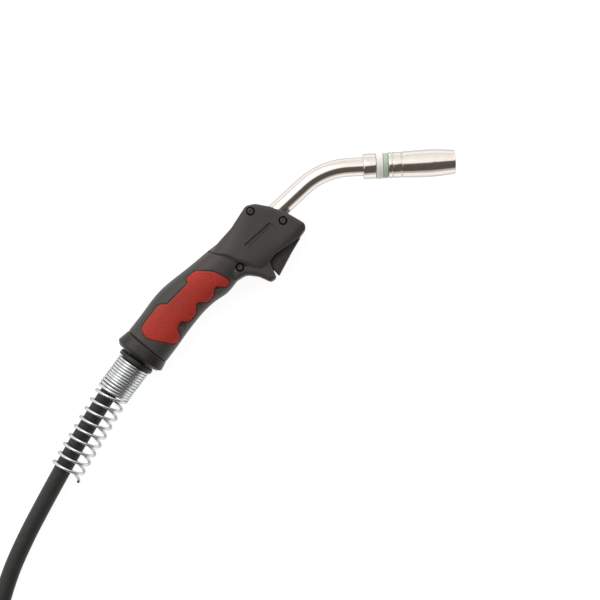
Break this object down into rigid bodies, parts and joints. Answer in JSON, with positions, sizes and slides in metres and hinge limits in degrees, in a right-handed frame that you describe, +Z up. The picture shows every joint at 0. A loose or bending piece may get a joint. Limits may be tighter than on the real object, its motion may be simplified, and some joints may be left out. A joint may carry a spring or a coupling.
{
  "type": "mig welding torch",
  "caption": "Hand-held MIG welding torch with a bent neck, gas nozzle, trigger, rubber-panelled grip, spring strain relief, coiled cable and central connector.",
  "frame": {"origin": "on the bench, under the flat lower cheek of the handle's head, with the torch lying on its side", "axes": "+X along the gas nozzle and out of its mouth, +Z up, square to the plane in which the handle's shells meet; +Y points from the grip's trigger side towards its back"},
  "size_m": [0.4329, 0.6259, 0.0453],
  "materials": {
    "black_plastic": "moulded, satin",
    "grip_plastic": "moulded, matt",
    "red_rubber": "soft rubber with a fine cross-hatch",
    "nickel": "bright nickel plate",
    "white_insulator": "heat-proof moulding, off-white",
    "green_seal": "pale green silicone",
    "copper": "copper alloy, bright",
    "brass": "turned brass",
    "zinc_steel": "bright zinc plate",
    "dark_steel": "blackened steel",
    "cable_rubber": "matt black rubber",
    "red_wire": "wire insulation"
  },
  "bodies": {
    "torch": {"cable_coil": "cable_rubber", "cable_end_inside": "cable_rubber", "cable_lead": "cable_rubber", "cable_tail": "cable_rubber", "contact_tip": "copper", "crimp_sleeve": "copper", "gas_diffuser": "white_insulator", "gas_spigot": "brass", "grip_inlay_lower": "red_rubber", "grip_inlay_upper": "red_rubber", "handle_lower_shell": "black_plastic", "handle_upper_shell": "black_plastic", "hose_nipple": "brass", "housing_screw_1": "dark_steel", "housing_screw_2": "dark_steel", "housing_screw_3": "dark_steel", "insulator_seal": "green_seal", "liner_nut": "brass", "neck_collar": "nickel", "neck_conductor": "copper", "neck_root_block": "brass", "nozzle_insulator": "white_insulator", "plug_body": "brass", "plug_boot": "cable_rubber", "plug_flange": "black_plastic", "plug_housing": "black_plastic", "plug_screw": "dark_steel", "rear_ring": "grip_plastic", "spigot_o_ring": "cable_rubber", "spring_seat": "grip_plastic", "strain_relief_spring": "zinc_steel", "swan_neck_tube": "nickel", "switch_body": "black_plastic", "switch_terminal_a": "brass", "switch_terminal_b": "brass", "switch_wire_a": "red_wire", "switch_wire_b": "red_wire", "tip_holder": "brass", "trigger_pin": "zinc_steel", "trigger_spring": "zinc_steel", "wire_liner": "zinc_steel"},
    "trigger_lever": {"trigger": "black_plastic"},
    "switch_button": {"switch_plunger": "white_insulator"},
    "nozzle_shell": {"gas_nozzle": "nickel"},
    "plug_nut_ring": {"plug_nut": "black_plastic"},
    "pin_a": {"control_pin_a": "brass"},
    "pin_b": {"control_pin_b": "brass"}
  },
  "joints": [
    {"name": "trigger_pull", "type": "hinge", "parent": "torch", "child": "trigger_lever", "pos_m": [0.02144, -0.00289, 0.019], "axis": [0, 0, -1], "range_deg": [0, 6], "stiffness_Nm_per_rad": 1.2, "springref_deg": -2.86},
    {"name": "switch_press", "type": "slide", "parent": "torch", "child": "switch_button", "axis": [-0.6691, 0.7431, 0], "range_m": [0, 0.0024]},
    {"name": "nozzle_pull_off", "type": "slide", "parent": "torch", "child": "nozzle_shell", "axis": [1, 0, 0], "range_m": [0, 0.07]},
    {"name": "connector_nut_spin", "type": "hinge", "parent": "torch", "child": "plug_nut_ring", "pos_m": [0.031, -0.536, 0.0228], "axis": [1, 0, 0], "continuous": true},
    {"name": "control_pin_a_press", "type": "slide", "parent": "torch", "child": "pin_a", "axis": [-1, 0, 0], "range_m": [0, 0.0025], "stiffness_N_per_m": 300},
    {"name": "control_pin_b_press", "type": "slide", "parent": "torch", "child": "pin_b", "axis": [-1, 0, 0], "range_m": [0, 0.0025], "stiffness_N_per_m": 300}
  ],
  "couplings": [
    {"joint": "switch_press", "follows": "trigger_pull", "m_per_rad": 0.0229}
  ]
}
